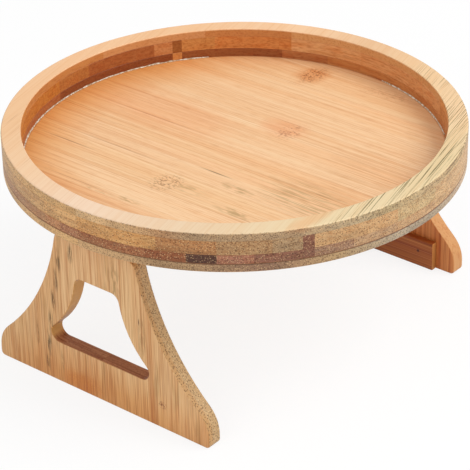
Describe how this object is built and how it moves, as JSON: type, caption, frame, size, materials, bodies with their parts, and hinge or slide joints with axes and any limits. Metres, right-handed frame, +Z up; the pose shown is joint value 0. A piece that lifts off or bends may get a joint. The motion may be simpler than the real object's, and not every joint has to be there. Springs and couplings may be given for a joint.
{
  "type": "sofa arm tray",
  "caption": "Round laminated bamboo tray with a raised rim on facing legs that straddle a sofa arm and fold flat beneath it on sprung hinges.",
  "frame": {"origin": "on the surface it stands on, under the middle of the tray", "axes": "+Z up, X across the legs from the left leg to the right leg, Y along the width of the legs, front at -Y"},
  "size_m": [0.25, 0.25, 0.121],
  "materials": {
    "rim_top_bamboo": "pale carbonised bamboo, sanded and lacquered, grain across the tray",
    "core_bamboo": "laminated bamboo strips, end grain and side grain, lacquered",
    "dark_bamboo": "dark carbonised bamboo strips, lacquered",
    "floor_bamboo": "edge-glued bamboo panel with node marks, lacquered",
    "leg_bamboo": "bamboo board, grain upright, sanded and lacquered",
    "batten_bamboo": "bamboo batten, grain along its length",
    "zinc_sheet": "pressed steel sheet, bright zinc plated",
    "pin_steel": "drawn steel pin, upset heads",
    "spring_wire": "drawn spring wire, oiled",
    "screw_steel": "zinc plated pan-head wood screws"
  },
  "bodies": {
    "tray": {"rim_top_ply": "rim_top_bamboo", "rim_core_ply": "core_bamboo", "rim_lower_ply": "dark_bamboo", "floor_panel": "floor_bamboo", "left_front_tray_leaf": "zinc_sheet", "left_back_tray_leaf": "zinc_sheet", "right_front_tray_leaf": "zinc_sheet", "right_back_tray_leaf": "zinc_sheet", "left_front_pin": "pin_steel", "left_back_pin": "pin_steel", "right_front_pin": "pin_steel", "right_back_pin": "pin_steel", "left_front_spring": "spring_wire", "left_back_spring": "spring_wire", "right_front_spring": "spring_wire", "right_back_spring": "spring_wire", "tray_leaf_screws": "screw_steel"},
    "left_leg": {"left_leg_board": "leg_bamboo", "left_grip_batten": "batten_bamboo", "left_front_leg_leaf": "zinc_sheet", "left_back_leg_leaf": "zinc_sheet", "left_leg_leaf_screws": "screw_steel"},
    "right_leg": {"right_leg_board": "leg_bamboo", "right_grip_batten": "batten_bamboo", "right_front_leg_leaf": "zinc_sheet", "right_back_leg_leaf": "zinc_sheet", "right_leg_leaf_screws": "screw_steel"}
  },
  "joints": [
    {"name": "left_leg_fold", "type": "hinge", "parent": "tray", "child": "left_leg", "pos_m": [-0.10162, 0, 0.09515], "axis": [0, -1, 0], "range_deg": [0, 90], "deforming": ["left_front_spring", "left_back_spring"]},
    {"name": "right_leg_fold", "type": "hinge", "parent": "tray", "child": "right_leg", "pos_m": [0.10162, 0, 0.09515], "axis": [0, 1, 0], "range_deg": [0, 90], "deforming": ["right_front_spring", "right_back_spring"]}
  ]
}
